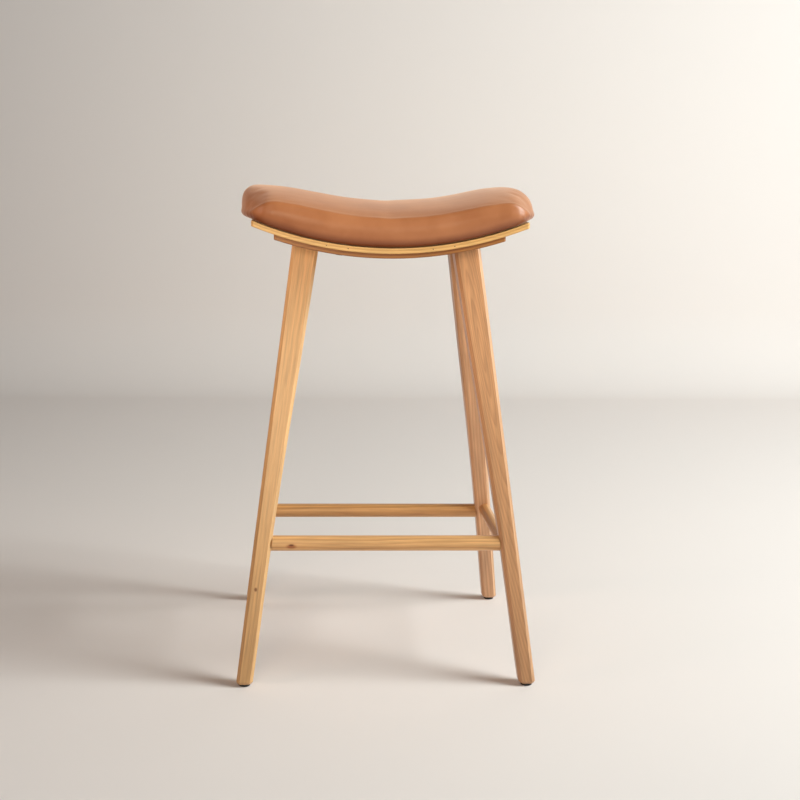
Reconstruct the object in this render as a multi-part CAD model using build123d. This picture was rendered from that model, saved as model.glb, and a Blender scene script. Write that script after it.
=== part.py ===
from build123d import *
import math
import os

# Counter stool with a saddle seat. A leather-covered cushion is bolted to a bent plywood shell,
# a smaller bent plate under the shell carries four splayed legs, and four round stretchers
# tie the legs together. Millimetres, +Z up, the front faces -Y, and the origin is on the
# floor under the middle of the seat.

# Bent seat shell: it curves about one axis that runs front to back above the seat
shell_low_height = 593.0        # underside at the middle, above the floor
shell_radius = 507.0            # of the underside
shell_thickness = 7.2
shell_width = 373.0
shell_depth = 250.0
shell_corner_radius = 4.0       # at the plan's corners
board_arris = 0.8               # eased edges of both bent boards

# Bent support plate, glued and bolted to the underside of the shell
plate_thickness = 7.2
plate_width = 313.0
plate_setback = 12.0            # behind the front and back edges of the shell
plate_corner_radius = 3.0

# Cushion: leather over foam on a thin bent board
cushion_end_overhang = 16.5     # of the bulging ends past the shell's
cushion_base_setback = 3.0      # of the drawn-in front and back, behind the shell's edges
cushion_bulge = 11.0            # of the front and back past that base
cushion_edge_bulge = 5.0        # of the top edge of the front and back past that base
cushion_side_height = 41.0      # from the shell to the top edge of the side, at the middle
cushion_crown = 20.0            # of the top above that edge, at the middle
leather_thickness = 1.4
leather_return = 24.0           # turned under the board all round
cushion_board_thickness = 5.0
cushion_board_margin = 7.0      # the foam laps the board's edge by this much
cushion_board_corner = 10.0

# Places where the cushion's section is drawn, from the middle to the end: shares of the shell's
# half width, then of the end's overhang. Each has its depth, how high the side's top edge and
# the top lie above the shell, and how far its base has left the shell, as shares of the depths,
# of the side's height, of the whole height at the middle, and of the side's height again.
shell_station_shares = (0.0, 0.305, 0.545, 0.75, 0.893, 0.975)
end_station_shares = (0.2, 0.69, 1.0)
depth_shares = (0.985, 0.99, 1.0, 1.0, 0.995, 0.98, 0.94, 0.8, 0.48)
side_height_shares = (1.0, 1.028, 1.027, 0.958, 0.775, 0.472, 0.292, 0.362, 0.436)
whole_height_shares = (1.0, 1.019, 1.022, 0.969, 0.866, 0.776, 0.675, 0.523, 0.397)
base_lift_shares = (0.0, 0.0, 0.0, 0.0, 0.0, 0.0, 0.05, 0.12, 0.2)
side_bulge_share = 0.45         # height of the side's fullest point, as a share of the side

# Staples that hold the leather under the board
staple_crown = 10.0
staple_wire = 0.7
staple_band = 1.2
staple_leg = 5.0
staple_sink = 0.4               # below the leather's face
staple_inset = 11.0             # from the drawn-in edge of the cushion
staple_places_shares = (-0.78, -0.52, -0.26, 0.0, 0.26, 0.52, 0.78)
staple_end_shares = (-0.5, 0.0, 0.5)

# Bolts that hold plate, shell and cushion together
bolt_diameter = 6.0
bolt_head_diameter = 10.6
bolt_head_height = 3.2
bolt_socket = 4.0               # across flats
bolt_socket_depth = 2.0
bolt_proud = 3.0                # past the nut's flange
bolt_spacing_x = 132.0
bolt_spacing_y = 84.0
bolt_hole_clearance = 0.3
thread_clearance = 0.05
washer_diameter = 14.0
washer_thickness = 1.4
nut_flange_diameter = 18.0
nut_flange_thickness = 1.2
nut_barrel_diameter = 8.0
foam_pocket_clearance = 1.5

# Brads in the front and back edges of the shell
brad_diameter = 1.5
brad_length = 14.0
brad_places = (57.0, 86.0)      # each side of the middle

# Legs: straight outer faces, and inner faces that draw in to a slimmer lower half
leg_top_outer_x = 133.0         # outer face from the middle, at the height of the shell's underside
leg_top_outer_y = 47.0
leg_foot_outer_x = 207.8        # outer face from the middle, at the foot
leg_foot_outer_y = 183.0
leg_top_width = 37.5
leg_foot_width = 22.8
leg_chamfer = 4.4               # along the four long corners
leg_end_chamfer_height = 3.4
leg_end_chamfer_inset = 2.4
leg_level_shares = (-0.04, 0.14, 0.3, 0.45, 0.62, 0.8, 1.0)
leg_taper_shares = (1.05, 0.84, 0.61, 0.38, 0.17, 0.07, 0.0)

# Screws and dowels that hold each leg under the plate
screw_diameter = 4.6
screw_head_diameter = 8.8
screw_head_height = 2.4
screw_length = 46.0
screw_spacing = 20.0            # between the two screws of a leg
screw_sink = 1.6                # of the head below the plate's top
dowel_diameter = 8.0
dowel_length = 30.0
dowel_sink = 0.8

# Stretchers
stretcher_diameter = 21.5       # of the front and back stretchers
side_stretcher_diameter = 18.0
front_stretcher_height = 191.0
back_stretcher_height = 163.0
side_stretcher_height = 169.0
side_stretcher_shift = 2.5      # outwards from the middle of the legs
tenon_diameter = 10.0
tenon_gap = 0.4                 # left between two tenons that meet in a leg
joint_clearance = 0.1           # all round a tenon or dowel

# Glides and their nails
glide_diameter = 16.0
glide_height = 4.0
glide_edge = 0.7
nail_diameter = 2.4
nail_head_diameter = 6.0
nail_head_thickness = 0.8
nail_start = 1.5                # of the nail's head above the floor
nail_length = 17.0

overrun = 3.0                   # extra length of every cutting body
quarter_turn = 90.0

bend_axis_height = shell_low_height + shell_radius
shell_top_radius = shell_radius - shell_thickness
plate_radius = shell_radius + plate_thickness
plate_depth = shell_depth - 2 * plate_setback
cushion_base_depth = shell_depth - 2 * cushion_base_setback
cushion_depth = cushion_base_depth + 2 * cushion_bulge
cushion_edge_depth = cushion_base_depth + 2 * cushion_edge_bulge
cushion_height = cushion_side_height + cushion_crown
bend_span = cushion_depth + 2 * overrun
shell_reaches = [share * shell_width / 2 for share in shell_station_shares]
end_reaches = [shell_width / 2 + share * cushion_end_overhang for share in end_station_shares]
station_reaches = shell_reaches + end_reaches
upright = (Align.CENTER, Align.CENTER, Align.MIN)


def bend_cylinder(radius):
    # everything nearer to the bend axis than the radius
    return Pos(0, 0, bend_axis_height) * Rot(quarter_turn, 0, 0) * Cylinder(radius, bend_span)


def bent_board(radius, thickness, width, depth, corner):
    # a board whose underside has the given radius, cut to a plan with rounded corners
    ring = bend_cylinder(radius) - bend_cylinder(radius - thickness)
    low = bend_axis_height - radius - overrun
    plan = Pos(0, 0, low) * RectangleRounded(width, depth, corner)
    return ring & extrude(plan, amount=radius)


def on_bend(x, y, radius):
    # a place on the bent surface of that radius, its Z pointing to the bend axis
    turn = math.asin(x / radius)
    height = bend_axis_height - radius * math.cos(turn)
    return Location((x, y, height), (0, -math.degrees(turn), 0))


def cushion_section(index, inset):
    # one cross section: drawn-in base, bulging sides, crowned top
    reach = station_reaches[index]
    along = reach * (1 - inset / station_reaches[-1])
    full = cushion_depth / 2 * depth_shares[index] - inset
    base = cushion_base_depth / 2 * depth_shares[index] - inset
    edge = cushion_edge_depth / 2 * depth_shares[index] - inset
    shell_top = bend_axis_height - math.sqrt(shell_top_radius ** 2 - reach ** 2)
    high = shell_top + side_height_shares[index] * cushion_side_height - inset
    top = shell_top + whole_height_shares[index] * cushion_height - inset
    low = shell_top - overrun
    if base_lift_shares[index] > 0:
        low = shell_top + base_lift_shares[index] * cushion_side_height + inset
    bulge = low + (high - low) * side_bulge_share
    sides = [
        Line((-base, low), (base, low)),
        ThreePointArc((base, low), (full, bulge), (edge, high)),
        ThreePointArc((edge, high), (0, top), (-edge, high)),
        ThreePointArc((-edge, high), (-full, bulge), (-base, low)),
    ]
    return along, make_face(Curve() + sides)


def cushion_form(inset, floor_radius):
    # the crowned form, inset from the outside, down to the bent surface it stands on
    def placed(side, index):
        along, face = cushion_section(index, inset)
        return Plane(origin=(side * along, 0, 0), x_dir=(0, 1, 0), z_dir=(1, 0, 0)) * face

    last_smooth = len(shell_reaches) - 1
    middle = [placed(-1, index) for index in range(last_smooth, 0, -1)]
    middle = middle + [placed(1, index) for index in range(last_smooth + 1)]
    form = loft(middle)
    for side in (-1, 1):
        end_stations = range(last_smooth, len(station_reaches))
        form = form + loft([placed(side, index) for index in end_stations], ruled=True)
    return form & bend_cylinder(floor_radius)


def make_staple():
    crown = Pos(0, 0, staple_sink) * Box(staple_crown, staple_band, staple_wire, align=upright)
    legs = []
    for side in (-1, 1):
        place = Pos(side * (staple_crown - staple_wire) / 2, 0, staple_sink)
        legs.append(place * Box(staple_wire, staple_band, staple_leg, align=upright))
    return crown + legs


def make_staples():
    staple = make_staple()
    row_y = cushion_base_depth / 2 - staple_inset
    end_x = (shell_width - leather_return) / 2
    staples = []
    for share in staple_places_shares:
        for side in (-1, 1):
            staples.append(on_bend(share * shell_width / 2, side * row_y, shell_top_radius) * staple)
    for share in staple_end_shares:
        for side in (-1, 1):
            place = on_bend(side * end_x, share * cushion_base_depth / 2, shell_top_radius)
            staples.append(place * Rot(0, 0, quarter_turn) * staple)
    return staples


def bolt_places(radius):
    places = []
    for side_x in (-1, 1):
        for side_y in (-1, 1):
            places.append(on_bend(side_x * bolt_spacing_x / 2, side_y * bolt_spacing_y / 2, radius))
    return places


nut_top = plate_thickness + shell_thickness + leather_thickness + cushion_board_thickness


def make_bolt():
    # head below the washer, shank up through plate, shell and nut
    head_low = -washer_thickness - bolt_head_height
    head = Pos(0, 0, head_low) * Cylinder(bolt_head_diameter / 2, bolt_head_height, align=upright)
    socket = extrude(RegularPolygon(bolt_socket / 2, 6, major_radius=False), amount=bolt_socket_depth)
    shank_length = washer_thickness + nut_top + bolt_proud
    shank = Pos(0, 0, -washer_thickness) * Cylinder(bolt_diameter / 2, shank_length, align=upright)
    return head + shank - Pos(0, 0, head_low) * socket


def make_washer():
    disc = Cylinder(washer_diameter / 2, washer_thickness, align=upright)
    hole = Cylinder(bolt_diameter / 2 + bolt_hole_clearance, washer_thickness, align=upright)
    return Pos(0, 0, -washer_thickness) * (disc - hole)


def make_nut():
    flange = Cylinder(nut_flange_diameter / 2, nut_flange_thickness, align=upright)
    barrel_length = cushion_board_thickness - nut_flange_thickness
    barrel = Cylinder(nut_barrel_diameter / 2, barrel_length, align=upright)
    nut = barrel + Pos(0, 0, barrel_length) * flange
    bore = Cylinder(bolt_diameter / 2 + thread_clearance, cushion_board_thickness, align=upright)
    return Pos(0, 0, nut_top - cushion_board_thickness) * (nut - bore)


def leg_share(height):
    return (shell_low_height - height) / (shell_low_height - glide_height)


def leg_width(share):
    # the leg's width at a share of its length, between the levels of the table
    taper = leg_taper_shares[-1]
    for index in range(len(leg_level_shares) - 1):
        low, high = leg_level_shares[index], leg_level_shares[index + 1]
        if low <= share <= high:
            part = (share - low) / (high - low)
            taper = leg_taper_shares[index] * (1 - part) + leg_taper_shares[index + 1] * part
    return leg_foot_width + (leg_top_width - leg_foot_width) * taper


def leg_centre(share):
    half = leg_width(share) / 2
    x = leg_top_outer_x + (leg_foot_outer_x - leg_top_outer_x) * share - half
    y = leg_top_outer_y + (leg_foot_outer_y - leg_top_outer_y) * share - half
    height = shell_low_height + (glide_height - shell_low_height) * share
    return x, y, height


def leg_section(share, side_x, side_y, inset=0.0):
    # a level section: a square with its corners cut off
    x, y, height = leg_centre(share)
    half = leg_width(share) / 2 - inset
    flat = half - leg_chamfer + inset / 2
    corners = [(half, flat), (flat, half), (-flat, half), (-half, flat)]
    corners = corners + [(-u, -v) for u, v in corners]
    outline = Polyline(*corners, close=True)
    return Pos(side_x * x, side_y * y, height) * make_face(outline)


def leg_blank(side_x, side_y):
    # the leg without its joints, its top shaped to the plate's underside
    end_share = leg_share(glide_height + leg_end_chamfer_height)
    shares = [share for share in leg_level_shares if share < end_share] + [end_share]
    body = loft([leg_section(share, side_x, side_y) for share in shares])
    upper = leg_section(end_share, side_x, side_y)
    lower = leg_section(1, side_x, side_y, leg_end_chamfer_inset)
    end = loft([upper, lower], ruled=True)
    return body + end - bend_cylinder(plate_radius)


def leg_prism(height, side_x, side_y):
    # the leg near a stretcher, with sharp corners, that the stretcher's end is cut to
    sections = []
    for rise in (stretcher_diameter, -stretcher_diameter):
        share = leg_share(height + rise)
        x, y, level = leg_centre(share)
        width = leg_width(share)
        sections.append(Pos(side_x * x, side_y * y, level) * Rectangle(width, width))
    return loft(sections, ruled=True)


def leg_frame(side_x, side_y, offset=0):
    # a place on the leg's top under the plate, its Z along the leg towards the top
    low = Vector(*leg_centre(leg_level_shares[2]))
    high = Vector(*leg_centre(0))
    along = Vector(side_x * (high.X - low.X), side_y * (high.Y - low.Y), high.Z - low.Z).normalized()
    reach = math.sqrt(plate_radius ** 2 - high.X ** 2)
    start = Vector(side_x * high.X, side_y * high.Y + offset, bend_axis_height - reach)
    return Plane(origin=start, x_dir=(1, 0, 0), z_dir=along)


def screw_and_dowel_cuts(side_x, side_y):
    # the two screws and the dowel of one leg, and the wider cut above each screw's head
    head_top = plate_thickness - screw_sink
    screws = []
    recesses = []
    for side in (-1, 1):
        place = leg_frame(side_x, side_y, side * screw_spacing / 2) * Pos(0, 0, head_top)
        cone_low = Pos(0, 0, -screw_head_height)
        cone = cone_low * Cone(screw_diameter / 2, screw_head_diameter / 2, screw_head_height, align=upright)
        shank = Pos(0, 0, -screw_length) * Cylinder(screw_diameter / 2, screw_length, align=upright)
        screws.append(place * (cone + shank))
        above = Cylinder(screw_head_diameter / 2, screw_sink + 2 * overrun, align=upright)
        recesses.append(place * above)
    top = plate_thickness - dowel_sink
    down = Pos(0, 0, top - dowel_length)
    dowel = leg_frame(side_x, side_y) * down * Cylinder(dowel_diameter / 2, dowel_length, align=upright)
    return screws, recesses, dowel


def widened(place_from, place_to, radius):
    # a round bar from one point to another
    start = Vector(*place_from)
    run = Vector(*place_to) - start
    frame = Plane(origin=start, z_dir=run.normalized())
    return frame * Cylinder(radius, run.length, align=upright)


def stretcher_ends(height, shift, side_a, side_b):
    # centres of the two legs at that height, or beside them by the shift outwards
    x, y, _ = leg_centre(leg_share(height))
    start = (side_a[0] * (x + shift), side_a[1] * y, height)
    end = (side_b[0] * (x + shift), side_b[1] * y, height)
    return start, end


def make_stretcher(diameter, height, shift, side_a, side_b, blanks):
    # a round bar coped to its two legs, with a tenon at each end; the mortises' cuts too
    start, end = stretcher_ends(height, shift, side_a, side_b)
    bar = widened(start, end, diameter / 2)
    for side in (side_a, side_b):
        bar = bar - leg_prism(height, *side) - blanks[side]
    half = leg_width(leg_share(height)) / 2
    tip = tenon_diameter / 2 + tenon_gap
    along = (Vector(*end) - Vector(*start)).normalized()
    mortises = []
    for point, towards in ((start, along), (end, along * -1)):
        centre = Vector(*point)
        inside = centre + towards * (half + overrun)
        outer_end = centre + towards * tip
        deep_end = centre + towards * (tip - joint_clearance)
        tenon = widened(inside, outer_end, tenon_diameter / 2)
        bar = bar + tenon
        mortises.append(widened(inside, deep_end, tenon_diameter / 2 + joint_clearance))
    return bar, mortises


def foot_place(side_x, side_y):
    x, y, _ = leg_centre(1)
    return Pos(side_x * x, side_y * y, 0)


def make_glide():
    disc = Cylinder(glide_diameter / 2, glide_height, align=upright)
    return chamfer(disc.edges().group_by(Axis.Z)[0], glide_edge)


def make_nail():
    head = Cylinder(nail_head_diameter / 2, nail_head_thickness, align=upright)
    shank = Cylinder(nail_diameter / 2, nail_length, align=upright)
    return Pos(0, 0, nail_start) * (head + shank)


def eased(board):
    return fillet(board.edges(), board_arris)


# The solids
bolts = [place * make_bolt() for place in bolt_places(plate_radius)]
washers = [place * make_washer() for place in bolt_places(plate_radius)]
nuts = [place * make_nut() for place in bolt_places(plate_radius)]
bolt_hole_radius = bolt_diameter / 2 + bolt_hole_clearance
bolt_hole = Cylinder(bolt_hole_radius, plate_thickness + shell_thickness + overrun, align=upright)
bolt_holes = [place * Pos(0, 0, -overrun / 2) * bolt_hole for place in bolt_places(plate_radius)]
pocket = Cylinder(bolt_hole_radius + foam_pocket_clearance, nut_top + 2 * bolt_proud, align=upright)
pockets = [place * pocket for place in bolt_places(plate_radius)]
staples = make_staples()

brads = []
for distance in brad_places:
    for side_x in (-1, 1):
        for side_y in (-1, 1):
            radius = shell_radius - shell_thickness / 2
            place = on_bend(side_x * distance, side_y * shell_depth / 2, radius)
            brad = Cylinder(brad_diameter / 2, brad_length, align=upright)
            brads.append(place * Rot(side_y * quarter_turn, 0, 0) * brad)

sides = [(-1, -1), (1, -1), (-1, 1), (1, 1)]
names = {(-1, -1): "front_left", (1, -1): "front_right", (-1, 1): "back_left", (1, 1): "back_right"}
blanks = {side: leg_blank(*side) for side in sides}

across = (stretcher_diameter, front_stretcher_height, 0)
across_back = (stretcher_diameter, back_stretcher_height, 0)
along_side = (side_stretcher_diameter, side_stretcher_height, side_stretcher_shift)
stretcher_plan = {
    "stretcher_front": (across, (-1, -1), (1, -1)),
    "stretcher_back": (across_back, (-1, 1), (1, 1)),
    "stretcher_left": (along_side, (-1, -1), (-1, 1)),
    "stretcher_right": (along_side, (1, -1), (1, 1)),
}
nodes = {}
leg_cuts = {side: [] for side in sides}
for name, (sizes, side_a, side_b) in stretcher_plan.items():
    bar, mortises = make_stretcher(*sizes, side_a, side_b, blanks)
    nodes[name] = [bar]
    leg_cuts[side_a].append(mortises[0])
    leg_cuts[side_b].append(mortises[1])

leg_screws = []
leg_dowels = []
plate_cuts = []
glide_nails = []
for side in sides:
    screws, recesses, dowel = screw_and_dowel_cuts(*side)
    nail = foot_place(*side) * make_nail()
    leg = blanks[side] - screws - dowel - nail - leg_cuts[side]
    nodes["leg_" + names[side]] = [leg]
    nodes["glide_" + names[side]] = [foot_place(*side) * make_glide() - nail]
    leg_screws += screws
    leg_dowels.append(dowel)
    plate_cuts += screws + recesses + [dowel]
    glide_nails.append(nail)

shell = eased(bent_board(shell_radius, shell_thickness, shell_width, shell_depth, shell_corner_radius))
plate = eased(bent_board(plate_radius, plate_thickness, plate_width, plate_depth, plate_corner_radius))

board_radius = shell_top_radius - leather_thickness
board_width = shell_width - 2 * cushion_board_margin
board_depth = cushion_base_depth - 2 * cushion_board_margin
board = bent_board(board_radius, cushion_board_thickness, board_width, board_depth, cushion_board_corner)
opening_width = shell_width - 2 * leather_return
opening_depth = cushion_base_depth - 2 * leather_return
opening = bent_board(shell_top_radius, leather_thickness, opening_width, opening_depth, cushion_board_corner)
outside = cushion_form(0, shell_top_radius)
inside = cushion_form(leather_thickness, board_radius)

nodes["leather_cover"] = [outside - inside - opening - staples]
nodes["foam_pad"] = [inside - board - pockets]
nodes["cushion_board"] = [board - staples - nuts - pockets]
nodes["cover_staples"] = staples
nodes["seat_shell"] = [shell - bolt_holes - brads]
nodes["edge_brads"] = brads
nodes["support_plate"] = [plate - bolt_holes - plate_cuts]
nodes["seat_bolts"] = bolts
nodes["seat_bolt_washers"] = washers
nodes["seat_t_nuts"] = nuts
nodes["leg_screws"] = leg_screws
nodes["leg_dowels"] = leg_dowels
nodes["glide_nails"] = glide_nails

os.makedirs("parts", exist_ok=True)
for name, pieces in nodes.items():
    solids = [solid for piece in pieces for solid in piece.solids()]
    whole = solids[0]
    if len(solids) > 1:
        whole = Compound(children=solids)
    export_step(whole, "parts/" + name + ".step")
    print(name, len(solids), round(sum(solid.volume for solid in solids), 1))
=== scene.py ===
import bpy
import bmesh
import math
import numpy as np
from mathutils import Matrix, Vector


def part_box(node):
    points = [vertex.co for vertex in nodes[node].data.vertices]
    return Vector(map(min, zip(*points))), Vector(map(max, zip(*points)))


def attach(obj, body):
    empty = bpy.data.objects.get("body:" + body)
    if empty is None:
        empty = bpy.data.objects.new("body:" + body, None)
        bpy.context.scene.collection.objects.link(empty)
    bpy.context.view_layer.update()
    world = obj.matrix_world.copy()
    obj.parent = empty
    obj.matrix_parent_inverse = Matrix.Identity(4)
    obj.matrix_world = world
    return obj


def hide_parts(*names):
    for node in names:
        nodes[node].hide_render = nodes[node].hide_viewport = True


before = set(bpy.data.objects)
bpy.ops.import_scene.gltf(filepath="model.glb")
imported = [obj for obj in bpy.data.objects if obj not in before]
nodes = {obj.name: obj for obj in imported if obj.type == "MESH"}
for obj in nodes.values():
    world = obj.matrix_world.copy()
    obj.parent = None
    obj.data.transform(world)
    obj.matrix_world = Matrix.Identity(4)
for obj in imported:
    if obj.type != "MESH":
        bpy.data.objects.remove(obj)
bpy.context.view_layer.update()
mm = 0.001  # lengths below are in millimetres, and the scene is in metres


# Small tools

def linearColour(hexText):
    # sRGB hex to linear light, channel by channel, with full alpha
    parts = [int(hexText[i:i + 2], 16) / 255 for i in (0, 2, 4)]
    return [c / 12.92 if c <= 0.04045 else ((c + 0.055) / 1.055) ** 2.4 for c in parts] + [1.0]


def addNode(tree, kind, settings=None, links=None, stops=None):
    # one node: settings are its properties, links its sockets' values or what feeds them, by name
    # or number, and stops are the places of a colour ramp with a hex colour or a grey value each
    node = tree.nodes.new("ShaderNode" + kind)
    for name, value in (settings or {}).items():
        setattr(node, name, value)
    for name, value in (links or {}).items():
        socket = node.inputs[name]
        if isinstance(value, bpy.types.NodeSocket):
            tree.links.new(value, socket)
        else:
            socket.default_value = value
    for index, (place, colour) in enumerate(stops or []):
        elements = node.color_ramp.elements
        element = elements[index] if index < 2 else elements.new(place)
        element.position = place
        element.color = linearColour(colour) if isinstance(colour, str) else [colour] * 3 + [1.0]
    return node


def newMaterial(name):
    material = bpy.data.materials.new(name)
    material.use_nodes = True
    tree = material.node_tree
    tree.nodes.clear()
    return material, tree


def finishMaterial(tree, shader):
    addNode(tree, "OutputMaterial", None, {"Surface": shader.outputs[0]})


def dress(name, material):
    # a CAD node's material slots all take the one material
    slots = nodes[name].material_slots
    if not slots:
        nodes[name].data.materials.append(material)
    for slot in slots:
        slot.material = material


def smoothThrough(places, values, at):
    # a cubic through the values, its slope at each place that of its two neighbours
    places, values, at = np.asarray(places, float), np.asarray(values, float), np.asarray(at, float)
    slopes = np.gradient(values, places)
    index = np.clip(np.searchsorted(places, at, side="right") - 1, 0, len(places) - 2)
    width = places[index + 1] - places[index]
    t = np.clip((at - places[index]) / width, 0, 1)
    startValue, startSlope = 2 * t ** 3 - 3 * t ** 2 + 1, t ** 3 - 2 * t ** 2 + t
    endValue, endSlope = 3 * t ** 2 - 2 * t ** 3, t ** 3 - t ** 2
    return (startValue * values[index] + startSlope * width * slopes[index]
            + endValue * values[index + 1] + endSlope * width * slopes[index + 1])


# Camera, from the photo's perspective
print("camera")
cameraView = {
    "place": (-121.6, -1746.2, 705.2),
    "turnRight": 0.0319,        # radians to the right of straight ahead
    "tiltDown": 0.1896,
    "roll": 0.0091,
    "lens": 54.36,              # mm, on the sensor's width below
    "sensor": 36,
    "shift": 0.0786,
    "nearest": 50,              # nothing nearer than this is drawn
}


def makeCamera(view):
    # forward, right and up come from the turn and the tilt, and the last two are rolled about the first
    data = bpy.data.cameras.new("photoCamera")
    data.sensor_width = view["sensor"]
    data.lens = view["lens"]
    data.shift_x = view["shift"]
    data.clip_start = view["nearest"] * mm
    camera = bpy.data.objects.new("photoCamera", data)
    bpy.context.scene.collection.objects.link(camera)
    turn, tilt, roll = view["turnRight"], view["tiltDown"], view["roll"]
    forward = Vector((math.sin(turn) * math.cos(tilt), math.cos(turn) * math.cos(tilt), -math.sin(tilt)))
    right = Vector((math.cos(turn), -math.sin(turn), 0))
    up = right.cross(forward)
    rolledRight = right * math.cos(roll) + up * math.sin(roll)
    rolledUp = up * math.cos(roll) - right * math.sin(roll)
    turned = Matrix((rolledRight, rolledUp, -forward)).transposed().to_4x4()
    camera.matrix_world = Matrix.Translation(Vector(view["place"]) * mm) @ turned
    bpy.context.scene.camera = camera


makeCamera(cameraView)


# Floor, backdrop and light
print("floor and light")
studio = {
    "floor": "E4DAD5",
    "rough": 0.9,
    "gloss": 0.2,
    "width": 6000,
    "floorFront": -4500,        # where the floor begins, before the stool
    "wallPlace": 2200,          # behind the stool
    "wallHeight": 3400,
    "coveRadius": 260,          # of the curve between floor and wall
    "world": "FFF4EA",
    "worldStrength": 0.012,     # how brightly the room lights the stool
    "seenStrength": 0.62,       # how bright the camera sees the room
}


def makeStage(look, steps=24):
    # the floor runs back, turns up through a quarter circle and rises as the wall
    angles = np.linspace(0, math.pi / 2, steps)
    radius, wall = look["coveRadius"], look["wallPlace"]
    y = np.concatenate([[look["floorFront"]], wall - radius + radius * np.sin(angles), [wall]])
    z = np.concatenate([[0], radius - radius * np.cos(angles), [look["wallHeight"]]])
    x = np.array([-look["width"] / 2, look["width"] / 2])
    gridX, gridY = np.meshgrid(x, y)
    points = np.stack([gridX, gridY, np.repeat(z[:, None], 2, axis=1)], axis=-1).reshape(-1, 3) * mm
    first = np.arange(len(y) - 1) * 2
    faces = np.stack([first, first + 1, first + 3, first + 2], axis=1)
    mesh = bpy.data.meshes.new("studioFloor")
    mesh.from_pydata(points.tolist(), [], faces.tolist())
    floor = bpy.data.objects.new("studioFloor", mesh)
    bpy.context.scene.collection.objects.link(floor)
    mesh.shade_smooth()
    material, tree = newMaterial("mattPaintedFloor")  # an even pale surface with hardly any gloss
    shader = addNode(tree, "BsdfPrincipled", None,
                     {"Base Color": linearColour(look["floor"]), "Roughness": look["rough"],
                      "Specular IOR Level": look["gloss"]})
    finishMaterial(tree, shader)
    mesh.materials.append(material)


def makeWorld(look):
    # the room's own light is faint, and past the backdrop the camera sees a pale wall
    world = bpy.data.worlds.new("softRoom")
    world.use_nodes = True
    tree = world.node_tree
    tree.nodes.clear()
    rays = addNode(tree, "LightPath")
    strength = addNode(tree, "MapRange", None,
                       {"Value": rays.outputs["Is Camera Ray"], "To Min": look["worldStrength"],
                        "To Max": look["seenStrength"]})
    background = addNode(tree, "Background", None,
                         {"Color": linearColour(look["world"]), "Strength": strength.outputs[0]})
    addNode(tree, "OutputWorld", None, {"Surface": background.outputs[0]})
    bpy.context.scene.world = world


# each lamp's place, the point that it faces, its width and height, its watts, colour and beam in degrees
lamps = {
    "frontKey": ((-600, -1850, 1000), (0, 0, 600), (900, 700), 3.3, "FFFFFF", 180),
    "frontSpot": ((-450, -1850, 850), (0, 0, 620), (700, 500), 1.6, "FFEAC8", 60),
    "leftLow": ((-2200, -700, 600), (0, 0, 350), (900, 900), 5, "FFBE9C", 180),
    "rightKey": ((3630, -908, 1552), (0, 0, 150), (1300, 1300), 104, "F1FFFF", 180),
    "rightHigh": ((3000, -630, 2550), (0, 0, 150), (1950, 1950), 132, "F6FFFF", 180),
    "overLeft": ((-900, -200, 2600), (-500, -100, 0), (1800, 1800), 1.4, "FFF0DC", 90),
    "leftRim": ((-1600, -500, 1150), (-190, 0, 660), (600, 600), 0.55, "FFE6D8", 45),
}


def addLamp(name, place, target, size, power, colour, beam):
    # a soft rectangular lamp
    data = bpy.data.lights.new(name, "AREA")
    data.shape = "RECTANGLE"
    data.size, data.size_y = size[0] * mm, size[1] * mm
    data.energy = power
    data.color = linearColour(colour)[:3]
    data.spread = math.radians(beam)
    lamp = bpy.data.objects.new(name, data)
    lamp.location = Vector(place) * mm
    lamp.rotation_euler = (Vector(target) - Vector(place)).to_track_quat("-Z", "Y").to_euler()
    bpy.context.scene.collection.objects.link(lamp)


makeStage(studio)
makeWorld(studio)
bpy.context.scene.view_settings.view_transform = "Standard"
for name, values in lamps.items():
    addLamp(name, *values)


# Cushion: leather drawn tight over foam, crowned on top and tucked in at its base
print("cushion")
cushion = {
    # distances from the seat's middle, then the heights there of the edge round the top and of the
    # top itself, and the share of the full depth
    "places": (0, 57, 102, 140, 166.5, 181.8, 190, 196.5, 203),
    "creaseHeights": (639.0, 643.6, 651.6, 658.6, 659.0, 650.5, 645.5, 644.5, 644.5),
    "topHeights": (658.6, 663.4, 670.8, 677.2, 679.6, 680.3, 680.4, 680.0, 679.0),
    "depths": (0.985, 0.99, 1, 1, 1, 1, 1, 1, 1),
    "baseDepth": 122,           # half depths of each section
    "bulgeDepth": 132,
    "creaseDepth": 126.5,
    "bulgeHeight": 0.46,        # share of the side's height
    "reach": 204,               # from the middle to the end
    "plan": (158, 2.5),         # where the plan's corner starts, and how square it is
    "leftTop": (180, 2.7),      # where the top rounds off at the left, and how square
    "rightTop": (165, 2.1),
    "endHeight": 655,           # what the top rounds off to
    "endCrown": (120, 70, 0.2, 0.3),  # from this place, over this much, the crown grows this much fuller
    "rightStretch": (150, 2.4),  # past this place the right end reaches this much further
    "rightDrop": (88, 42, 2.2),  # the top sits a little lower here: place, spread and depth
    "endTuck": (178, 22, 0.12),  # the ends draw in past this place, below this height, by this share
    "bendAxis": 1100,           # height of the axis that the shell is bent about
    "shellRadius": 499.8,       # of the shell's top
    "shellEdge": 186.5,
    "levelPast": 188,           # the shell's line is carried on level from here
    "lie": 0.25,                # the leather's clearance over the shell
    "voxel": 4.0,
    "smoothing": (2, 7),        # rounds before and after the swell
    "cloth": {"quality": 6, "tension_stiffness": 40, "compression_stiffness": 40, "bending_stiffness": 4,
              "use_pressure": True, "uniform_pressure_force": 4.0},
    "frames": 20,
    "cap": 1.5,                 # most that a point may swell
    "pinHeight": 3.0,           # the leather is held up to this height over the shell
    "ridge": (1.8, 4.5),        # height and width of the rounded edge round the top
    "paintedShadeHeight": 15,            # painted shade darkens the leather below this height over the shell
}


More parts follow.
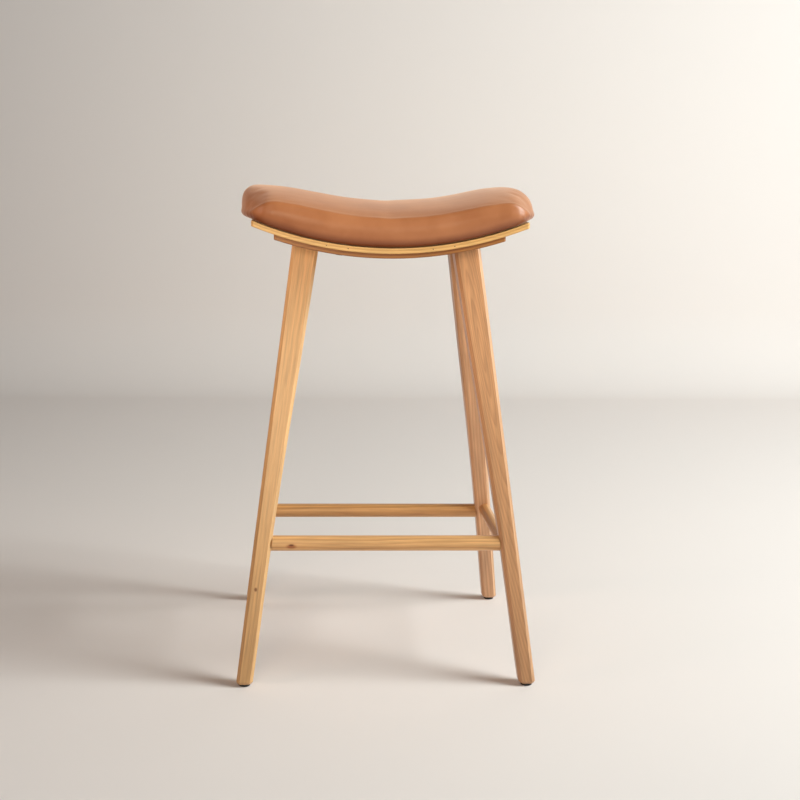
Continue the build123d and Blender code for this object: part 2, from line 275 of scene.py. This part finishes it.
def shellHeight(along, form):
    # top of the shell at a distance from the middle, on a circle about the bend axis
    inside = np.minimum(np.abs(along), form["levelPast"])
    return form["bendAxis"] - np.sqrt(form["shellRadius"] ** 2 - inside ** 2)


def roundedOff(away, reach, start, squareness):
    # 1 up to the start, then down to 0 at the reach along a superellipse
    part = np.clip((away - start) / (reach - start), 0, 1)
    return (1 - part ** squareness) ** (1 / squareness)


def spacedAlong(count, form):
    # places from end to end, spaced as a sine so that they crowd at the ends
    return np.sin(np.linspace(-1, 1, count) * math.pi / 2) * form["reach"]


def depthShare(away, form):
    # a cubic through the given shares, rounded off at the ends as a superellipse
    shares = smoothThrough(form["places"], form["depths"], away)
    return shares * roundedOff(away, form["reach"], *form["plan"])


def tucked(points, form):
    # past its start, a point is drawn in by the share times the square of how low it lies, and it
    # keeps its height over the shell; then the right end is stretched by a square
    start, height, share = form["endTuck"]
    away = np.abs(points[..., 0])
    low = np.clip(1 - (points[..., 2] - shellHeight(away, form)) / height, 0, 1) ** 2
    drawn = np.where(away > start, start + (away - start) * (1 - share * low), away)
    lower = (shellHeight(away, form) - shellHeight(drawn, form)) * low
    start, further = form["rightStretch"]
    drawn = drawn + further * np.clip((points[..., 0] - start) / (form["reach"] - start), 0, 1) ** 2
    return np.stack([np.sign(points[..., 0]) * drawn, points[..., 1], points[..., 2] - lower], axis=-1)


def cushionGrid(form, stations=241, steps=36):
    # Rows across the seat. Each goes up the front through base, bulge and crease on a parabola, over
    # the top as one minus a power of its depth, down the back as it went up the front, and back
    # under on a straight line. The depth and the height of the top are rounded off at the ends.
    along = spacedAlong(stations, form)
    away = np.abs(along)
    depth = depthShare(away, form)[:, None]
    low = shellHeight(away, form) + form["lie"]
    crease = smoothThrough(form["places"], form["creaseHeights"], away)
    top = smoothThrough(form["places"], form["topHeights"], away)
    left = roundedOff(away, form["reach"], *form["leftTop"])
    right = roundedOff(away, form["reach"], *form["rightTop"])
    top = form["endHeight"] + (top - form["endHeight"]) * np.where(along < 0, left, right)
    place, spread, drop = form["rightDrop"]
    top = top - drop * np.exp(-((along - place) / spread) ** 2)
    crease = np.clip(crease, low + 1, top - 1)  # at least 1 mm from the base and from the top
    low, crease, top = low[:, None], crease[:, None], top[:, None]
    up = np.linspace(0, 1, steps)[None, :]
    bulge = form["bulgeHeight"]
    sideDepth = (form["baseDepth"] * (up - bulge) * (up - 1) / bulge
                 + form["bulgeDepth"] * up * (up - 1) / (bulge * (bulge - 1))
                 + form["creaseDepth"] * up * (up - bulge) / (1 - bulge)) * depth
    sideHeight = low + (crease - low) * up
    start, run, fuller, blunter = form["endCrown"]
    endward = np.clip((away - start) / run, 0, 1)[:, None]
    out = np.sin((1 - up) * math.pi / 2)
    topDepth = form["creaseDepth"] * out * depth
    crown = np.clip(1 - out ** (2 + fuller * endward), 0, 1) ** (1 / (1 + blunter * endward ** 1.5))
    topHeight = crease + (top - crease) * crown
    frontTop, backTop = topDepth[:, 1:], topDepth[:, -2:0:-1]
    across = np.concatenate([-sideDepth, -frontTop, backTop, sideDepth[:, ::-1]], axis=1)
    frontTop, backTop = topHeight[:, 1:], topHeight[:, -2:0:-1]
    height = np.concatenate([sideHeight, frontTop, backTop, sideHeight[:, ::-1]], axis=1)
    under = np.linspace(1, -1, steps)[None, 1:-1]
    across = np.concatenate([across, form["baseDepth"] * depth * under], axis=1)
    height = np.concatenate([height, low + 0 * under], axis=1)
    along = np.repeat(along[:, None], across.shape[1], axis=1)
    return tucked(np.stack([along, across, height], axis=-1), form)


def closedMesh(name, grid, nearby=0.05):
    # faces between the rows of a grid whose rows are closed rings; points nearby, as at its ends, merge
    rows, ring = grid.shape[:2]
    index = np.arange(rows * ring).reshape(rows, ring)
    here, there = index[:-1], index[1:]
    corners = [here, there, np.roll(there, -1, axis=1), np.roll(here, -1, axis=1)]
    faces = np.stack(corners, axis=-1).reshape(-1, 4)
    mesh = bpy.data.meshes.new(name)
    mesh.from_pydata((grid.reshape(-1, 3) * mm).tolist(), [], faces.tolist())
    work = bmesh.new()
    work.from_mesh(mesh)
    bmesh.ops.remove_doubles(work, verts=work.verts, dist=nearby * mm)
    bmesh.ops.recalc_face_normals(work, faces=work.faces)
    work.to_mesh(mesh)
    work.free()
    return mesh


def readPoints(mesh):
    points = np.empty(len(mesh.vertices) * 3)
    mesh.vertices.foreach_get("co", points)
    return points.reshape(-1, 3) / mm


def writePoints(mesh, points):
    mesh.vertices.foreach_set("co", (points * mm).ravel())
    mesh.update()


def readNormals(mesh):
    normals = np.empty(len(mesh.vertices) * 3)
    mesh.vertices.foreach_get("normal", normals)
    return normals.reshape(-1, 3)


def meshAsShown(piece):
    # a new mesh of the piece as its modifiers leave it
    return bpy.data.meshes.new_from_object(piece.evaluated_get(bpy.context.evaluated_depsgraph_get()))


def withModifier(piece, kind, settings):
    # the piece's mesh becomes what one modifier makes of it
    modifier = piece.modifiers.new(kind, kind)
    for name, value in settings.items():
        setattr(modifier, name, value)
    made = meshAsShown(piece)
    piece.modifiers.clear()
    piece.data = made


def swell(piece, form):
    # the leather is blown up a little from inside, held along its base, and kept within the cap
    points = readPoints(piece.data)
    overShell = points[:, 2] - shellHeight(points[:, 0], form)
    held = piece.vertex_groups.new(name="held")
    held.add(np.nonzero(overShell < form["pinHeight"])[0].tolist(), 1.0, "REPLACE")
    cloth = piece.modifiers.new("leatherSwell", "CLOTH")
    cloth.settings.vertex_group_mass = "held"
    for name, value in form["cloth"].items():
        setattr(cloth.settings, name, value)
    cloth.settings.effector_weights.gravity = 0
    cloth.collision_settings.use_collision = False
    scene = bpy.context.scene
    for number in range(1, form["frames"] + 1):
        scene.frame_set(number)
    made = meshAsShown(piece)
    piece.modifiers.clear()
    scene.frame_set(1)
    piece.vertex_groups.clear()
    piece.data = made
    moved = readPoints(made) - points
    length = np.linalg.norm(moved, axis=1, keepdims=True)
    moved = moved * np.minimum(1, form["cap"] / np.maximum(length, 1e-6))
    writePoints(made, points + moved)
    print("leather swells by", round(float(np.minimum(length, form["cap"]).max()), 2), "mm at most")


def creaseLine(form, samples=1200):
    # the edge round the top: along the front, and the same along the back
    along = spacedAlong(samples, form)
    away = np.abs(along)
    depth = -form["creaseDepth"] * depthShare(away, form)
    height = smoothThrough(form["places"], form["creaseHeights"], away)
    front = tucked(np.stack([along, depth, height], axis=-1), form)
    return np.concatenate([front, front * (1, -1, 1)])


def nearestOn(line, points, batch=2000):
    # distance from each point to the nearest point of a line, many points at a time
    found = []
    for first in range(0, len(points), batch):
        gaps = points[first:first + batch, None, :] - line[None, :, :]
        found.append(np.sqrt((gaps ** 2).sum(axis=2).min(axis=1)))
    return np.concatenate(found)


def raiseEdge(piece, form):
    # the edge round the top stands out along the surface's normal, as a bell-shaped rise, and no
    # point over the shell sinks into it
    points = readPoints(piece.data)
    height, width = form["ridge"]
    rise = height * np.exp(-(nearestOn(creaseLine(form), points) / width) ** 2)
    points = points + readNormals(piece.data) * rise[:, None]
    floor = shellHeight(points[:, 0], form) + form["lie"]
    above = np.abs(points[:, 0]) < form["shellEdge"]
    points[:, 2] = np.where(above, np.maximum(points[:, 2], floor), points[:, 2])
    writePoints(piece.data, points)
    return points


def makeCushion(form):
    # the grid is remeshed to even squares for the cloth, smoothed, swollen and smoothed again, halved
    # once, and then given its edge
    mesh = closedMesh("seatCushion", cushionGrid(form))
    piece = bpy.data.objects.new("seatCushion", mesh)
    bpy.context.scene.collection.objects.link(piece)
    before, after = form["smoothing"]
    withModifier(piece, "REMESH", {"mode": "VOXEL", "voxel_size": form["voxel"] * mm, "adaptivity": 0.0})
    withModifier(piece, "SMOOTH", {"factor": 0.5, "iterations": before})
    swell(piece, form)
    withModifier(piece, "SMOOTH", {"factor": 0.5, "iterations": after})
    withModifier(piece, "SUBSURF", {"levels": 1, "render_levels": 1})
    points = raiseEdge(piece, form)
    piece.data.shade_smooth()
    # painted shade where the leather turns under: 1 at the shell, down to 0 where this painted shade ends
    overShell = points[:, 2] - shellHeight(points[:, 0], form)
    tuckPaintedShade = piece.data.attributes.new("tuckPaintedShade", "FLOAT", "POINT")
    tuckPaintedShade.data.foreach_set("value", np.clip(1 - overShell / form["paintedShadeHeight"], 0, 1).astype(np.float32))
    return piece


seatCushion = makeCushion(cushion)
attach(seatCushion, "root")
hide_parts("leather_cover", "foam_pad")

leatherLook = {
    "dark": "A16138",
    "light": "B6764B",
    "cloud": 55,                # across a patch
    "cloudStops": (0.3, 0.72),  # where the noise gives the dark and the light
    "pebble": 1.8,              # the real grain is under 1 mm, which wouldn't show
    "pebbleHeight": 0.15,
    "relief": 0.25,
    "creaseSize": 2.4,          # fine creases, against the pebble's size, and how much they count
    "creaseShare": 0.6,
    "ripple": 12,               # across the faint long ripples
    "rippleDraw": (0.18, 1, 1),  # they are drawn out along the seat
    "rippleHeight": 1.0,
    "rippleRelief": 0.2,
    "rough": (0.38, 0.48),
    "ior": 1.48,
    "sheen": 0.42,
    "sheenRough": 0.4,
    "sheenTint": "F4CDB2",
    "paintedShadeTint": "AC8C7A",       # painted shade, multiplied into the colour near the base
    "paintedShadeDepth": 0.9,
    "paintedShadeFull": 0.8,            # of the way down the tuck, where the painted shade is full
}


def tanLeather(look):
    # Full-grain leather, drum dyed and lightly waxed: an even tan with soft cloudy patches, a fine
    # pebble and faint long ripples, a painted shade that darkens it near its base where it turns under,
    # and a sheen that shows where the light grazes it.
    material, tree = newMaterial("waxedTanLeather")
    place = addNode(tree, "TexCoord").outputs["Object"]
    clouds = addNode(tree, "TexNoise", None,
                     {"Vector": place, "Scale": 1 / (look["cloud"] * mm), "Detail": 3,
                      "Roughness": 0.55}).outputs["Fac"]
    darkAt, lightAt = look["cloudStops"]
    tan = addNode(tree, "ValToRGB", None, {"Fac": clouds},
                  [(darkAt, look["dark"]), (lightAt, look["light"])]).outputs["Color"]
    # painted shade: darkens the leather near its base, where it turns under the bulge
    tuckPaintedShade = addNode(tree, "Attribute", {"attribute_name": "tuckPaintedShade"}).outputs["Fac"]
    shade = addNode(tree, "MapRange", {"interpolation_type": "SMOOTHSTEP"},
                    {"Value": tuckPaintedShade, "From Max": look["paintedShadeFull"],
                     "To Max": look["paintedShadeDepth"]}).outputs["Result"]
    colour = addNode(tree, "Mix", {"data_type": "RGBA", "blend_type": "MULTIPLY"},
                     {0: shade, 6: tan, 7: linearColour(look["paintedShadeTint"])}).outputs[2]
    pebble = addNode(tree, "TexVoronoi", {"feature": "SMOOTH_F1"},
                     {"Vector": place, "Scale": 1 / (look["pebble"] * mm), "Smoothness": 0.6})
    creases = addNode(tree, "TexNoise", None,
                      {"Vector": place, "Scale": 1 / (look["pebble"] * look["creaseSize"] * mm),
                       "Detail": 4})
    height = addNode(tree, "Math", {"operation": "MULTIPLY_ADD"},
                     {0: creases.outputs["Fac"], 1: look["creaseShare"], 2: pebble.outputs["Distance"]})
    grain = addNode(tree, "Bump", None,
                    {"Height": height.outputs[0], "Strength": look["relief"],
                     "Distance": look["pebbleHeight"] * mm})
    drawn = addNode(tree, "Mapping", None, {"Vector": place, "Scale": look["rippleDraw"]}).outputs[0]
    ripples = addNode(tree, "TexNoise", None,
                      {"Vector": drawn, "Scale": 1 / (look["ripple"] * mm), "Detail": 2, "Roughness": 0.4})
    bump = addNode(tree, "Bump", None,
                   {"Height": ripples.outputs["Fac"], "Strength": look["rippleRelief"],
                    "Distance": look["rippleHeight"] * mm, "Normal": grain.outputs[0]}).outputs[0]
    rough = addNode(tree, "MapRange", None,
                    {"Value": clouds, "To Min": look["rough"][0], "To Max": look["rough"][1]}).outputs[0]
    shader = addNode(tree, "BsdfPrincipled", None,
                     {"Base Color": colour, "Roughness": rough, "Normal": bump, "IOR": look["ior"],
                      "Sheen Weight": look["sheen"], "Sheen Roughness": look["sheenRough"],
                      "Sheen Tint": linearColour(look["sheenTint"])})
    finishMaterial(tree, shader)
    return material


seatCushion.data.materials.clear()
seatCushion.data.materials.append(tanLeather(leatherLook))


# Wood: solid ash, sanded and lacquered satin, which gives a warm even gloss over darker growth rings
print("wood")
woodLook = {
    "early": "D9A468",          # wide pale part of a growth ring
    "late": "B67C45",           # its dense dark edge
    "ring": 5.0,                # between rings
    "ringStops": (0.3, 0.86),   # parts of a ring where the pale wood ends and the dark is darkest
    "pith": (34, 22),           # from the piece's axis to the tree's middle
    "lean": (0.04, 0.02),       # how far the rings run out of line with the piece
    "waver": 7.0,               # how far a ring wanders
    "bend": (26, 0.12),         # across a bend of the rings, and how much it is drawn out lengthwise
    "streak": 5.0,              # across the soft light and dark streaks
    "streakDraw": 0.05,
    "streakShade": (0.84, 1.1),  # how dark and how light they are
    "fibre": 1.5,               # pores are finer, but these are what shows
    "fibreDraw": 0.035,
    "fibreShade": (0.86, 1.04),
    "fibreHeight": 0.08,
    "relief": 0.25,
    "rough": (0.48, 0.38),      # of low and of raised fibres
    "coat": (0.25, 0.3),        # weight and roughness of the lacquer
    "ends": (1.0, 1.0),         # painted shade and light: the colour's scale at the piece's start and end
}


def solidWood(name, look, start, end, knots=()):
    # Rings round the tree's middle, which runs near the piece's own axis from start to end. They
    # wander with a slow noise, and fibres, streaks and knots darken or lighten them. Painted shade and
    # light scale the colour from the piece's start to its end. The satin lacquer is a thin coat.
    material, tree = newMaterial(name)
    start, end = Vector(start), Vector(end)
    turn = (end - start).normalized().to_track_quat("Z", "Y").to_euler()
    place = addNode(tree, "TexCoord").outputs["Object"]
    local = addNode(tree, "Mapping", {"vector_type": "TEXTURE"},
                    {"Vector": place, "Location": (start + end) / 2, "Rotation": turn}).outputs[0]
    tilted = addNode(tree, "Mapping", {"vector_type": "TEXTURE"},
                     {"Vector": local, "Location": (look["pith"][0] * mm, look["pith"][1] * mm, 0),
                      "Rotation": (look["lean"][0], look["lean"][1], 0)}).outputs[0]
    across, draw = look["bend"]
    squeezed = addNode(tree, "Mapping", None, {"Vector": tilted, "Scale": (1, 1, draw)}).outputs[0]
    wander = addNode(tree, "TexNoise", None,
                     {"Vector": squeezed, "Scale": 1 / (across * mm), "Detail": 2})
    centred = addNode(tree, "VectorMath", {"operation": "SUBTRACT"},
                      {0: wander.outputs["Color"], 1: (0.5, 0.5, 0.5)}).outputs[0]
    scaled = addNode(tree, "VectorMath", {"operation": "SCALE"},
                     {0: centred, "Scale": look["waver"] * mm}).outputs[0]
    bent = addNode(tree, "VectorMath", {"operation": "ADD"}, {0: tilted, 1: scaled}).outputs[0]
    # the wave's rings lie a twentieth of its turn apart
    rings = addNode(tree, "TexWave",
                    {"wave_type": "RINGS", "rings_direction": "Z", "wave_profile": "SAW"},
                    {"Vector": bent, "Scale": 2 * math.pi / (20 * look["ring"] * mm), "Distortion": 0.0})
    paleTo, darkAt = look["ringStops"]
    ringColour = addNode(tree, "ValToRGB", None, {"Fac": rings.outputs["Fac"]},
                         [(0.0, look["early"]), (paleTo, look["early"]), (darkAt, look["late"]),
                          (1.0, look["early"])]).outputs[0]
    drawn = addNode(tree, "Mapping", None, {"Vector": local, "Scale": (1, 1, look["fibreDraw"])}).outputs[0]
    fibre = addNode(tree, "TexNoise", None,
                    {"Vector": drawn, "Scale": 1 / (look["fibre"] * mm), "Detail": 3,
                     "Roughness": 0.65}).outputs["Fac"]
    darker, lighter = look["fibreShade"]
    fibreShade = addNode(tree, "ValToRGB", None, {"Fac": fibre}, [(0.3, darker), (0.62, lighter)]).outputs[0]
    long = addNode(tree, "Mapping", None, {"Vector": local, "Scale": (1, 1, look["streakDraw"])}).outputs[0]
    broad = addNode(tree, "TexNoise", None,
                    {"Vector": long, "Scale": 1 / (look["streak"] * mm), "Detail": 2}).outputs["Fac"]
    darker, lighter = look["streakShade"]
    broadShade = addNode(tree, "ValToRGB", None, {"Fac": broad}, [(0.3, darker), (0.7, lighter)]).outputs[0]
    colour = ringColour
    for shade in (fibreShade, broadShade):
        colour = addNode(tree, "Mix", {"data_type": "RGBA", "blend_type": "MULTIPLY"},
                         {0: 1.0, 6: colour, 7: shade}).outputs[2]
    # painted shade and light along the piece: the colour is scaled from its start to its end
    reach = (end - start).length / 2
    paintedLengthwiseShade = addNode(tree, "MapRange", None,
                         {"Value": addNode(tree, "SeparateXYZ", None, {0: local}).outputs["Z"],
                          "From Min": -reach, "From Max": reach,
                          "To Min": look["ends"][0], "To Max": look["ends"][1]}).outputs[0]
    colour = addNode(tree, "VectorMath", {"operation": "SCALE"}, {0: colour, "Scale": paintedLengthwiseShade}).outputs[0]
    for spot, size, shade in knots:
        about = addNode(tree, "Mapping", {"vector_type": "TEXTURE"},
                        {"Vector": place, "Location": Vector(spot) * mm, "Scale": Vector(size) * mm})
        ball = addNode(tree, "TexGradient", {"gradient_type": "SPHERICAL"}, {"Vector": about.outputs[0]})
        soft = addNode(tree, "MapRange", {"interpolation_type": "SMOOTHSTEP"},
                       {"Value": ball.outputs["Fac"], "From Min": 0.0, "From Max": 0.7, "To Max": 0.85})
        colour = addNode(tree, "Mix", {"data_type": "RGBA", "blend_type": "MULTIPLY"},
                         {0: soft.outputs[0], 6: colour, 7: linearColour(shade)}).outputs[2]
    rough = addNode(tree, "MapRange", None,
                    {"Value": fibre, "To Min": look["rough"][0], "To Max": look["rough"][1]}).outputs[0]
    bump = addNode(tree, "Bump", None,
                   {"Height": fibre, "Strength": look["relief"],
                    "Distance": look["fibreHeight"] * mm}).outputs[0]
    shader = addNode(tree, "BsdfPrincipled", None,
                     {"Base Color": colour, "Roughness": rough, "Normal": bump, "IOR": 1.5,
                      "Coat Weight": look["coat"][0], "Coat Roughness": look["coat"][1]})
    finishMaterial(tree, shader)
    return material


# on the front legs the last entry is painted shade towards the foot and painted light at the top
legLooks = {
    "leg_front_left": {"early": "E0AD74", "late": "D4A16A", "pith": (60, 30), "lean": (0.01, 0.01),
                       "streak": 4.0, "ends": (0.78, 1.06)},
    "leg_front_right": {"early": "C99569", "late": "B8855C", "pith": (6, 26), "lean": (0.075, 0.02),
                        "ring": 2.6, "waver": 4.0, "ends": (0.86, 1.12)},
    "leg_back_left": {"early": "C8925C", "late": "B07A48", "pith": (50, 10), "lean": (0.02, 0.03)},
    "leg_back_right": {"early": "CF9F79", "late": "BE8D65", "pith": (40, 25), "lean": (0.02, 0.01)},
}
legHalves = {"foot": 11.4, "top": 18.8}  # half a leg's width at its foot and at its top
# each knot's place, its half sizes along x, y and z, and its shade
legKnots = {"leg_front_left": [((-181, -153, 132), (3, 5, 4), "8A5A38")]}


def legAxis(name):
    # foot and top of a leg's centre line, in metres: half a width in from its box's outer corner
    # below and from its inner corner above
    low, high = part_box(name)
    foot, top = [], []
    for number in (0, 1):
        side = 1 if low[number] + high[number] > 0 else -1
        near, far = sorted((abs(low[number]), abs(high[number])))
        foot.append(side * (far - legHalves["foot"] * mm))
        top.append(side * (near + legHalves["top"] * mm))
    return (foot[0], foot[1], low[2]), (top[0], top[1], high[2])


for name, changes in legLooks.items():
    foot, top = legAxis(name)
    dress(name, solidWood(name + "Ash", {**woodLook, **changes}, foot, top, legKnots.get(name, ())))

stretcherLooks = {
    "stretcher_front": {"early": "DCAA72", "late": "C48F58", "pith": (18, 30), "lean": (0.025, 0.03),
                        "waver": 9.0},
    "stretcher_back": {"early": "CC985F", "late": "B07C48", "pith": (30, 12)},
    "stretcher_left": {"pith": (25, 20)},
    "stretcher_right": {"early": "C8925A", "pith": (25, 20)},
}
# a small knot near the front stretcher's left end, and two dark patches along the back stretcher
stretcherKnots = {
    "stretcher_front": [((-132, -138, 191), (5, 8, 2.2), "845230"),
                        ((-132, -138, 189), (10, 9, 5), "C89468")],
    "stretcher_back": [((-49, 136, 162), (48, 16, 6), "B98C70"),
                       ((71, 136, 160), (34, 16, 5), "B98C70")],
}
for name, changes in stretcherLooks.items():
    low, high = (Vector(corner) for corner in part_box(name))
    longest = max(range(3), key=lambda number: high[number] - low[number])
    start, end = (low + high) / 2, (low + high) / 2
    start[longest], end[longest] = low[longest], high[longest]
    look = {**woodLook, **changes}
    dress(name, solidWood(name + "Ash", look, start, end, stretcherKnots.get(name, ())))

# the dowels are turned beech, left raw, so paler and with rings close together
dowelLook = {**woodLook, "early": "D8B48A", "late": "C79C6C", "ring": 1.6}
dowelLow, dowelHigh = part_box("leg_dowels")
dress("leg_dowels", solidWood("rawBeechDowel", dowelLook, (0, 0, dowelLow[2]), (0, 0, dowelHigh[2])))


# Bent plywood: layers about the bend axis, lacquered on faces and edges
print("plywood")
plyLook = {
    "stops": (0.3, 0.7),        # how sharply one layer turns to the next
    "fibre": 1.8,
    "fibreDraw": 0.04,
    "fibreShade": (0.84, 1.05),
    "fibreHeight": 0.08,
    "relief": 0.2,
    "rough": 0.45,
    "coat": (0.2, 0.3),
}
# the radius where the layers start, a layer's thickness, and the colours of long and of end grain
shellLook = {**plyLook, "inner": 499.8, "layer": 2.4, "long": "E6B773", "end": "D29F5D"}
# the plate's darker colours are partly its own wood and partly painted shade from under the shell
plateLook = {**plyLook, "inner": 507.0, "layer": 2.4, "long": "AC7338", "end": "925B28"}
boardLook = {**plyLook, "inner": 493.4, "layer": 1.25, "long": "CDA873", "end": "B98F5C"}


def bentPlywood(name, look):
    # Thin veneers glued crosswise: pale long-grain layers and browner end-grain layers on the edges.
    # A layer is where the distance from the bend axis, counted in layers, goes up and down.
    material, tree = newMaterial(name)
    place = addNode(tree, "TexCoord").outputs["Object"]
    centred = addNode(tree, "VectorMath", {"operation": "SUBTRACT"},
                      {0: place, 1: (0, 0, cushion["bendAxis"] * mm)}).outputs[0]
    flat = addNode(tree, "VectorMath", {"operation": "MULTIPLY"}, {0: centred, 1: (1, 0, 1)}).outputs[0]
    radius = addNode(tree, "VectorMath", {"operation": "LENGTH"}, {0: flat}).outputs["Value"]
    layer = addNode(tree, "MapRange", {"clamp": False},
                    {"Value": radius, "From Min": look["inner"] * mm,
                     "From Max": (look["inner"] + look["layer"]) * mm, "To Max": 1.0}).outputs[0]
    pair = addNode(tree, "Math", {"operation": "PINGPONG"}, {0: layer, 1: 1.0}).outputs[0]
    longTo, endFrom = look["stops"]
    layers = addNode(tree, "ValToRGB", None, {"Fac": pair},
                     [(longTo, look["long"]), (endFrom, look["end"])]).outputs[0]
    drawn = addNode(tree, "Mapping", None, {"Vector": place, "Scale": (look["fibreDraw"], 1, 1)}).outputs[0]
    fibre = addNode(tree, "TexNoise", None,
                    {"Vector": drawn, "Scale": 1 / (look["fibre"] * mm), "Detail": 3}).outputs["Fac"]
    darker, lighter = look["fibreShade"]
    shade = addNode(tree, "ValToRGB", None, {"Fac": fibre}, [(0.3, darker), (0.65, lighter)]).outputs[0]
    colour = addNode(tree, "Mix", {"data_type": "RGBA", "blend_type": "MULTIPLY"},
                     {0: 1.0, 6: layers, 7: shade}).outputs[2]
    bump = addNode(tree, "Bump", None,
                   {"Height": fibre, "Strength": look["relief"],
                    "Distance": look["fibreHeight"] * mm}).outputs[0]
    shader = addNode(tree, "BsdfPrincipled", None,
                     {"Base Color": colour, "Roughness": look["rough"], "Normal": bump, "IOR": 1.5,
                      "Coat Weight": look["coat"][0], "Coat Roughness": look["coat"][1]})
    finishMaterial(tree, shader)
    return material


dress("seat_shell", bentPlywood("lacqueredShellPlywood", shellLook))
dress("support_plate", bentPlywood("lacqueredPlatePlywood", plateLook))
dress("cushion_board", bentPlywood("rawBoardPlywood", boardLook))


# Small hardware
print("hardware")
metals = {
    # bright, faintly clouded plating
    "zincPlatedSteel": {"colour": "C9C9CC", "metallic": 1.0, "rough": 0.35, "patch": 3,
                        "on": ("cover_staples", "seat_t_nuts", "leg_screws", "glide_nails")},
    # a dark satin skin of oxide
    "blackenedSteel": {"colour": "2A2A2C", "metallic": 1.0, "rough": 0.45, "patch": 3,
                       "on": ("seat_bolts", "seat_bolt_washers")},
    # brown, dull and darker than the other steel
    "dullBradSteel": {"colour": "5A4332", "metallic": 0.6, "rough": 0.5, "patch": 2,
                      "on": ("edge_brads",)},
}
glideLook = {"colour": "17110D", "rough": 0.5, "skin": 0.9, "skinHeight": 0.05, "relief": 0.2}


def metalFinish(name, look, uneven=0.08):
    # plated or blackened steel: fine uneven patches in the gloss
    material, tree = newMaterial(name)
    place = addNode(tree, "TexCoord").outputs["Object"]
    patches = addNode(tree, "TexNoise", None,
                      {"Vector": place, "Scale": 1 / (look["patch"] * mm), "Detail": 3}).outputs["Fac"]
    rough = addNode(tree, "MapRange", None,
                    {"Value": patches, "To Min": look["rough"] - uneven,
                     "To Max": look["rough"] + uneven}).outputs[0]
    shader = addNode(tree, "BsdfPrincipled", None,
                     {"Base Color": linearColour(look["colour"]), "Metallic": look["metallic"],
                      "Roughness": rough})
    finishMaterial(tree, shader)
    return material


def mouldedPlastic(name, look):
    # hard black polyethylene, moulded: a dull, faintly orange-peeled skin
    material, tree = newMaterial(name)
    place = addNode(tree, "TexCoord").outputs["Object"]
    skin = addNode(tree, "TexNoise", None,
                   {"Vector": place, "Scale": 1 / (look["skin"] * mm), "Detail": 2}).outputs["Fac"]
    bump = addNode(tree, "Bump", None,
                   {"Height": skin, "Strength": look["relief"],
                    "Distance": look["skinHeight"] * mm}).outputs[0]
    shader = addNode(tree, "BsdfPrincipled", None,
                     {"Base Color": linearColour(look["colour"]), "Roughness": look["rough"],
                      "Normal": bump, "IOR": 1.5})
    finishMaterial(tree, shader)
    return material


for finish, look in metals.items():
    metal = metalFinish(finish, look)
    for name in look["on"]:
        dress(name, metal)
glidePlastic = mouldedPlastic("blackGlidePlastic", glideLook)
for name in ("glide_front_left", "glide_front_right", "glide_back_left", "glide_back_right"):
    dress(name, glidePlastic)
